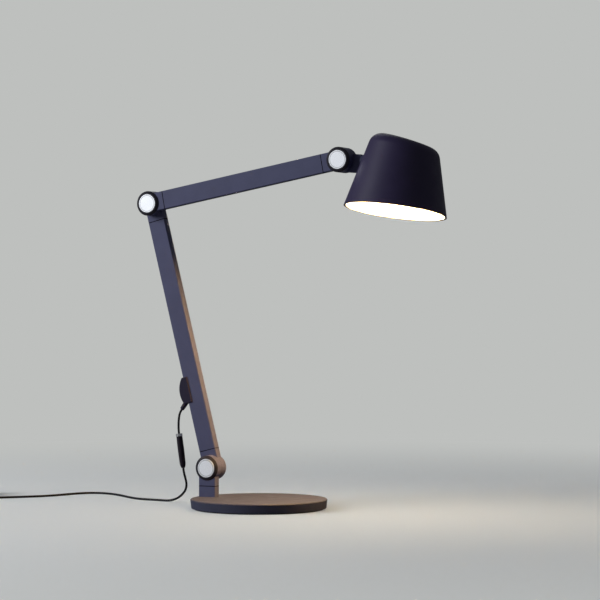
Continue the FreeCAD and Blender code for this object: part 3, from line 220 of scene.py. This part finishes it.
def make_cords():
    path = line_of("inlet_line", INLET_ROUTE)
    short = tube("inlet_cord", path, CORD_DIAMETER / 2, CORD_SIDES)
    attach(short, "lower_arm")
    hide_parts("cord_upper")

    path = line_of("power_line", HANGING_ROUTE + TABLE_ROUTE + coil_route())
    power = tube("power_cord", path, CORD_DIAMETER / 2, CORD_SIDES)
    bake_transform(power)
    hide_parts("cord_hanging", "cord_floor", "cord_coil")
    return short, power


inlet_cord, power_cord = make_cords()


# ---------------------------------------------------------------- seam lines

SHOULDER = Vector((-0.0825, 0, 0.0572))
ELBOW = Vector((-0.181946, 0, 0.448769))
HEAD = Vector((0.130338, 0, 0.506084))
REAR_LAYER = Vector((0, 0.0135, 0))
SEAM_DISTANCE = 0.0265
ARM_WIDTH = 0.027
ARM_DEPTH = 0.013
ARM_EDGE = 0.001
SEAM_WIDTH = 0.0012
SEAM_PROUD = 0.00006


def rounded_outline(width, depth, radius, steps=5):
    """The corners of a rounded rectangle, counter-clockwise."""
    spots = []
    for quarter, (x, y) in enumerate(((1, 1), (-1, 1), (-1, -1), (1, -1))):
        for step in range(steps + 1):
            angle = math.pi / 2 * (quarter + step / steps)
            spots.append((x * (width / 2 - radius) + radius * math.cos(angle),
                          y * (depth / 2 - radius) + radius * math.sin(angle)))
    return spots


def seam_line(name, spot, along, body):
    """A dark band round an arm where its tube meets its knuckle: painted shade for the shadow in the
    seam's gap.
    """
    along = along.normalized()
    across = along.cross(Vector((0, 1, 0))).normalized()
    vertices, faces = [], []
    profile = ((-SEAM_WIDTH / 2, 0.0), (-SEAM_WIDTH / 4, SEAM_PROUD), (SEAM_WIDTH / 4, SEAM_PROUD),
               (SEAM_WIDTH / 2, 0.0))
    for reach, proud in profile:
        ring = rounded_outline(ARM_WIDTH + 2 * proud, ARM_DEPTH + 2 * proud, ARM_EDGE + proud)
        vertices += [spot + along * reach + across * u + Vector((0, v, 0)) for u, v in ring]
    count = len(vertices) // len(profile)
    for row in range(len(profile) - 1):
        for index in range(count):
            start, after = row * count + index, row * count + (index + 1) % count
            faces.append((start, after, after + count, start + count))
    line = mesh_piece(name, vertices, faces)
    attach(line, body)
    return line


def make_seam_lines():
    lower, upper = (ELBOW - SHOULDER).normalized(), (HEAD - ELBOW).normalized()
    step = SEAM_DISTANCE
    return [
        seam_line("seam_post", SHOULDER - Vector((0, 0, step)), Vector((0, 0, 1)), "stand"),
        seam_line("seam_lower_bottom", SHOULDER + REAR_LAYER + lower * step, lower, "lower_arm"),
        seam_line("seam_lower_top", ELBOW + REAR_LAYER - lower * step, lower, "lower_arm"),
        seam_line("seam_upper_back", ELBOW + upper * step, upper, "upper_arm"),
        seam_line("seam_upper_front", HEAD - upper * step, upper, "upper_arm"),
    ]


seam_lines = make_seam_lines()


# ---------------------------------------------------------------- materials

# the groove in the discs' faces, drawn only as a darker ring of painted shade, as shares of the
# disc's width
GROOVE_RADIUS = 0.425
GROOVE_WIDTH = 0.03


def new_material(name, colour, roughness, metallic=0.0):
    """A material, with its node tree and its shader set to plain values."""
    made = bpy.data.materials.new(name)
    made.use_nodes = True
    made.diffuse_color = (*colour, 1)
    tree = made.node_tree
    shader = tree.nodes["Principled BSDF"]
    shader.inputs["Base Color"].default_value = (*colour, 1)
    shader.inputs["Roughness"].default_value = roughness
    shader.inputs["Metallic"].default_value = metallic
    return made, tree, shader


def add(tree, kind, settings=None, **inputs):
    """A node, with settings on the node itself and values or links for its inputs."""
    node = tree.nodes.new(kind)
    for key, value in (settings or {}).items():
        setattr(node, key, value)
    for key, value in inputs.items():
        socket = node.inputs[int(key[1:]) if key[0] == "i" and key[1:].isdigit() else key]
        if isinstance(value, bpy.types.NodeSocket):
            tree.links.new(value, socket)
        else:
            socket.default_value = value
    return node


def place(tree, kind="Object"):
    return tree.nodes.new("ShaderNodeTexCoord").outputs[kind]


def noise(tree, vector, scale, detail=2.0, roughness=0.5):
    return add(tree, "ShaderNodeTexNoise", Vector=vector, Scale=scale, Detail=detail,
               Roughness=roughness).outputs["Fac"]


def spread(tree, value, low, high, start=0.3, end=0.7):
    """A value between low and high where the given one goes from start to end."""
    return add(tree, "ShaderNodeMapRange", Value=value, i1=start, i2=end, i3=low,
               i4=high).outputs["Result"]


def shades(tree, value, colour, low, high):
    """The colour, darker to lighter with the value."""
    mix = add(tree, "ShaderNodeMix", {"data_type": "RGBA"}, Factor=value)
    mix.inputs[6].default_value = (*[part * low for part in colour], 1)
    mix.inputs[7].default_value = (*[part * high for part in colour], 1)
    return mix.outputs[2]


def bumpy(tree, shader, height, strength, distance, under=None):
    """A bump on the shader, over another bump if there is one."""
    bump = add(tree, "ShaderNodeBump", Height=height, Strength=strength, Distance=distance)
    if under:
        tree.links.new(under.outputs["Normal"], bump.inputs["Normal"])
    tree.links.new(bump.outputs["Normal"], shader.inputs["Normal"])
    return bump


def powder_coat(name, colour, roughness, grain=1100.0, specular=0.2):
    """Satin powder coat: fine orange-peel grain, faint clouding and uneven gloss."""
    made, tree, shader = new_material(name, colour, roughness)
    shader.inputs["Specular IOR Level"].default_value = specular
    spot = place(tree)
    cloud = noise(tree, spot, 22.0, 4.0, 0.6)
    speck = noise(tree, spot, grain * 1.7, 1.0)
    tone = add(tree, "ShaderNodeMath", {"operation": "ADD"}, i0=spread(tree, cloud, 0.0, 0.55),
               i1=spread(tree, speck, 0.0, 0.45)).outputs[0]
    tree.links.new(shades(tree, tone, colour, 0.86, 1.14), shader.inputs["Base Color"])
    tree.links.new(spread(tree, noise(tree, spot, 60.0, 3.0), roughness - 0.05, roughness + 0.06),
                   shader.inputs["Roughness"])
    peel = bumpy(tree, shader, noise(tree, spot, grain, 2.0), 0.35, 0.00012)
    bumpy(tree, shader, noise(tree, spot, 160.0, 2.0), 0.12, 0.0004, under=peel)
    return made


def turned_metal(name, colour, roughness):
    """A face turned on a lathe: fine rings about the node's own middle, along Y, and a darker ring
    near its edge, painted shade for a groove."""
    made, tree, shader = new_material(name, colour, roughness, metallic=1.0)
    middle = add(tree, "ShaderNodeMapping", Vector=place(tree, "Generated"),
                 Location=(-0.5, -0.5, -0.5)).outputs[0]
    flat = add(tree, "ShaderNodeMapping", Vector=middle, Scale=(1, 0, 1)).outputs[0]
    out = add(tree, "ShaderNodeVectorMath", {"operation": "LENGTH"}, i0=flat).outputs["Value"]
    rings = add(tree, "ShaderNodeTexWave", {"wave_type": "RINGS", "rings_direction": "Y"},
                Vector=middle, Scale=14.0, Distortion=0.3, Detail=2.0).outputs["Fac"]
    tone = add(tree, "ShaderNodeMath", {"operation": "MULTIPLY_ADD"}, i0=rings, i1=0.6,
               i2=spread(tree, noise(tree, middle, 90.0, 3.0), 0.0, 0.4)).outputs[0]
    # painted shade: the groove is a darker ring in the colour, not a cut in the mesh
    groove = add(tree, "ShaderNodeMath", {"operation": "COMPARE"}, i0=out, i1=GROOVE_RADIUS,
                 i2=GROOVE_WIDTH / 2).outputs[0]
    mix = add(tree, "ShaderNodeMix", {"data_type": "RGBA"}, Factor=groove)
    tree.links.new(shades(tree, tone, colour, 0.7, 1.12), mix.inputs[6])
    mix.inputs[7].default_value = (*[part * 0.45 for part in colour], 1)
    tree.links.new(mix.outputs[2], shader.inputs["Base Color"])
    tree.links.new(spread(tree, tone, roughness - 0.06, roughness + 0.1, 0.0, 1.0),
                   shader.inputs["Roughness"])
    bumpy(tree, shader, rings, 0.2, 0.00005)
    return made


def bare_metal(name, colour, roughness, stretch=(1.0, 1.0, 1.0)):
    """Mill-finish or plated metal with fine drawn lines and blotchy gloss."""
    made, tree, shader = new_material(name, colour, roughness, metallic=1.0)
    spot = add(tree, "ShaderNodeMapping", Vector=place(tree), Scale=stretch).outputs[0]
    lines = noise(tree, spot, 700.0, 3.0)
    tree.links.new(shades(tree, lines, colour, 0.8, 1.15), shader.inputs["Base Color"])
    tree.links.new(spread(tree, noise(tree, spot, 90.0), roughness - 0.07, roughness + 0.1),
                   shader.inputs["Roughness"])
    bumpy(tree, shader, lines, 0.15, 0.00006)
    return made


def moulded(name, colour, roughness, grain=1800.0, depth=0.00006, specular=0.3):
    """Moulded plastic or rubber with a fine spark-eroded grain."""
    made, tree, shader = new_material(name, colour, roughness)
    shader.inputs["Specular IOR Level"].default_value = specular
    spot = place(tree)
    pits = add(tree, "ShaderNodeTexVoronoi", Vector=spot, Scale=grain).outputs["Distance"]
    cloud = noise(tree, spot, 45.0, 3.0)
    tree.links.new(shades(tree, cloud, colour, 0.8, 1.25), shader.inputs["Base Color"])
    tree.links.new(spread(tree, cloud, roughness - 0.05, roughness + 0.07),
                   shader.inputs["Roughness"])
    bumpy(tree, shader, pits, 0.3, depth)
    return made


def cast_iron(name, colour):
    """Rough sand-cast iron, blackened."""
    made, tree, shader = new_material(name, colour, 0.7, metallic=0.6)
    spot = place(tree)
    lumps = noise(tree, spot, 240.0, 6.0, 0.65)
    tree.links.new(shades(tree, lumps, colour, 0.6, 1.4), shader.inputs["Base Color"])
    tree.links.new(spread(tree, lumps, 0.6, 0.85), shader.inputs["Roughness"])
    bumpy(tree, shader, lumps, 0.6, 0.0006)
    return made


def lit_surface(name, colour, glow, strength, low, texture):
    """A surface that also shines, brighter and dimmer with a fine texture."""
    made, tree, shader = new_material(name, colour, 0.45)
    spot = place(tree)
    grain = noise(tree, spot, texture, 2.0)
    tree.links.new(shades(tree, grain, colour, 0.96, 1.02), shader.inputs["Base Color"])
    tree.links.new(spread(tree, noise(tree, spot, 40.0), strength * low, strength),
                   shader.inputs["Emission Strength"])
    shader.inputs["Emission Color"].default_value = (*glow, 1)
    bumpy(tree, shader, grain, 0.15, 0.00008)
    return made


ARM_COLOUR = (0.075, 0.078, 0.150)
# the lampshade has the arms' powder coat; its colour is drawn darker than theirs, and that extra
# darkness is painted shade
LAMPSHADE_PAINTED_SHADE_COLOUR = (0.025, 0.018, 0.057)
BASE_COLOUR = (0.047, 0.049, 0.080)
WARM_LIGHT = (1.0, 0.83, 0.60)
GOLDEN_LIGHT = (1.0, 0.60, 0.20)

MATERIALS = {
    "graphite_steel": powder_coat("base_powder_coat", BASE_COLOUR, 0.55, specular=0.12),
    "weight_iron": cast_iron("black_cast_iron", (0.05, 0.05, 0.055)),
    "graphite_aluminium": powder_coat("arm_powder_coat", ARM_COLOUR, 0.5),
    "shade_aluminium": powder_coat("lampshade_coat_painted_shade", LAMPSHADE_PAINTED_SHADE_COLOUR, 0.5, 1300.0, 0.3),
    # painted light: the reflector's white paint also glows faintly, standing in for the lamp's light
    # that falls inside the shade
    "reflector_white": lit_surface("reflector_painted_glow", (0.92, 0.91, 0.88), WARM_LIGHT, 0.5, 0.9,
                                   900.0),
    "disc_aluminium": turned_metal("turned_aluminium", (0.80, 0.81, 0.83), 0.54),
    "bare_aluminium": bare_metal("mill_aluminium", (0.62, 0.63, 0.64), 0.42, (0.05, 1.0, 1.0)),
    "fastener_steel": bare_metal("plated_steel", (0.45, 0.45, 0.46), 0.32),
    "black_plastic": moulded("black_plastic", (0.020, 0.016, 0.036), 0.55, specular=0.12),
    "gloss_black": moulded("gloss_black_plastic", (0.012, 0.008, 0.015), 0.35, 700.0, 0.00003, 0.2),
    "fibre_washer": moulded("friction_fibre", (0.20, 0.13, 0.08), 0.8, 900.0, 0.0001),
    "foot_rubber": moulded("foam_rubber", (0.02, 0.02, 0.021), 0.85, 600.0, 0.0002),
    "opal_plastic": lit_surface("opal_diffuser", (0.95, 0.95, 0.93), WARM_LIGHT, 40.0, 0.92, 500.0),
    "led_phosphor": lit_surface("phosphor", (0.95, 0.80, 0.35), WARM_LIGHT, 40.0, 0.8, 1500.0),
    "cord_black": moulded("cord_sheath", (0.009, 0.008, 0.011), 0.5, 2200.0, 0.00004, 0.2),
    "chrome_trim": bare_metal("chrome", (0.90, 0.90, 0.91), 0.2),
}

BEZEL = powder_coat("bezel_coat", (0.016, 0.014, 0.022), 0.42, specular=0.3)
# painted shade: a near-black band that stands in for the shadow in the gap where each arm's tube
# meets its knuckle
SEAM = moulded("seam_painted_shade", (0.005, 0.004, 0.007), 0.8, specular=0.05)


def finish_nodes():
    """Give every CAD node the material of the slot that the record names for it."""
    for part in frame["record"]["subparts"]:
        node = frame["nodes"][part["node"]]
        for slot in node.material_slots:
            slot.material = MATERIALS[part["material_slot"]]
        if not node.material_slots:
            node.data.materials.append(MATERIALS[part["material_slot"]])
    for name in ("shoulder", "elbow", "head"):
        frame["nodes"][f"{name}_bezel"].material_slots[0].material = BEZEL
    for piece in (inlet_cord, power_cord):
        piece.data.materials.append(MATERIALS["cord_black"])
    for piece in seam_lines:
        piece.data.materials.append(SEAM)


finish_nodes()


# ---------------------------------------------------------------- floor and light

PALE = (0.515, 0.527, 0.515)
SKY = (0.93, 0.96, 1.0)
SKY_STRENGTH = 0.13

FLOOR_RADIUS = 14.0
FLOOR_SIDES = 96
# the floor's own colour for the camera, and the darker one for the light that it gives back
FLOOR_SEEN = (0.80, 0.81, 0.80)
FLOOR_GIVEN = (0.25, 0.25, 0.26)
FLOOR_HAZE = 0.2
# how far out the floor begins to go over into the background, and has done so
FADE_START = 0.5
FADE_END = 1.7


def seen(tree):
    """1 for rays from the camera, also through something clear, and 0 for all others."""
    path = tree.nodes.new("ShaderNodeLightPath").outputs
    return add(tree, "ShaderNodeMath", {"operation": "MAXIMUM"}, i0=path["Is Camera Ray"],
               i1=path["Is Transmission Ray"]).outputs[0]


def make_floor():
    """A wide pale floor that goes over into the pale background away from the object."""
    turns = [2 * math.pi * side / FLOOR_SIDES for side in range(FLOOR_SIDES)]
    rim = [(FLOOR_RADIUS * math.cos(turn), FLOOR_RADIUS * math.sin(turn), 0) for turn in turns]
    floor = mesh_piece("floor", rim, [tuple(range(FLOOR_SIDES))], smooth=False)
    made = bpy.data.materials.new("pale_floor")
    made.use_nodes = True
    tree = made.node_tree
    tree.nodes.clear()
    away = add(tree, "ShaderNodeVectorMath", {"operation": "LENGTH"}, i0=place(tree)).outputs["Value"]
    fade = add(tree, "ShaderNodeMapRange", {"interpolation_type": "SMOOTHSTEP"}, Value=away,
               i1=FADE_START, i2=FADE_END, i3=0.0, i4=1.0).outputs["Result"]
    share = add(tree, "ShaderNodeMath", {"operation": "MULTIPLY"}, i0=fade, i1=seen(tree)).outputs[0]
    lift = add(tree, "ShaderNodeMath", {"operation": "MULTIPLY"}, i0=seen(tree), i1=FLOOR_HAZE)
    tone = add(tree, "ShaderNodeMix", {"data_type": "RGBA"}, Factor=seen(tree))
    tone.inputs[6].default_value = (*FLOOR_GIVEN, 1)
    tone.inputs[7].default_value = (*FLOOR_SEEN, 1)
    matt = add(tree, "ShaderNodeBsdfDiffuse", Color=tone.outputs[2]).outputs[0]
    haze = add(tree, "ShaderNodeEmission", Color=(*PALE, 1), Strength=lift.outputs[0]).outputs[0]
    near = add(tree, "ShaderNodeAddShader", i0=matt, i1=haze).outputs[0]
    plain = add(tree, "ShaderNodeEmission", Color=(*PALE, 1), Strength=1.0).outputs[0]
    mix = add(tree, "ShaderNodeMixShader", i0=share, i1=near, i2=plain).outputs[0]
    add(tree, "ShaderNodeOutputMaterial", Surface=mix)
    floor.data.materials.append(made)


def make_world():
    world = bpy.data.worlds.new("world")
    bpy.context.scene.world = world
    world.use_nodes = True
    tree = world.node_tree
    tree.nodes.clear()
    light = add(tree, "ShaderNodeBackground", Color=(*SKY, 1),
                Strength=SKY_STRENGTH).outputs[0]
    plain = add(tree, "ShaderNodeBackground", Color=(*PALE, 1), Strength=1.0).outputs[0]
    mix = add(tree, "ShaderNodeMixShader", i0=seen(tree), i1=light, i2=plain).outputs[0]
    add(tree, "ShaderNodeOutputWorld", Surface=mix)


def make_lamp(name, spot, aim, width, power, colour=(1, 1, 1)):
    light = bpy.data.lights.new(name, "AREA")
    light.shape = "DISK"
    light.size = width
    light.energy = power
    light.color = colour
    lamp = bpy.data.objects.new(name, light)
    lamp.location = spot
    lamp.rotation_euler = (Vector(aim) - Vector(spot)).to_track_quat("-Z", "Y").to_euler()
    bpy.context.collection.objects.link(lamp)
    return lamp


# the middle of the shade's mouth, and the way that the shade's axis points
SHADE_MIDDLE = Vector((0.21486, 0.0040, 0.43014))
SHADE_AXIS = Vector((0.0846, 0.1374, 0.9869))
GLOW_INSIDE = 0.03
GLOW_WIDTH = 0.07
GLOW_POWER = 9


def make_glow():
    """The lamp's own warm light on its base and arms, which the pale floor doesn't take up."""
    spot = SHADE_MIDDLE + SHADE_AXIS * GLOW_INSIDE
    lamp = make_lamp("glow", spot, SHADE_MIDDLE, GLOW_WIDTH, GLOW_POWER, GOLDEN_LIGHT)
    lamp.visible_camera = False
    receivers = bpy.data.collections.new("glow_receivers")
    for piece in bpy.context.scene.objects:
        if piece.type == "MESH" and piece.name != "floor":
            receivers.objects.link(piece)
    lamp.light_linking.receiver_collection = receivers
    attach(lamp, "shade")


make_floor()
make_world()
make_lamp("key", (-2.7, -2.2, 1.5), (0, 0, 0.25), 2.0, 108, SKY)
make_lamp("back", (-1.2, 2.4, 2.4), (0, 0, 0.3), 1.6, 8)
make_glow()

bpy.context.scene.view_settings.view_transform = "Standard"
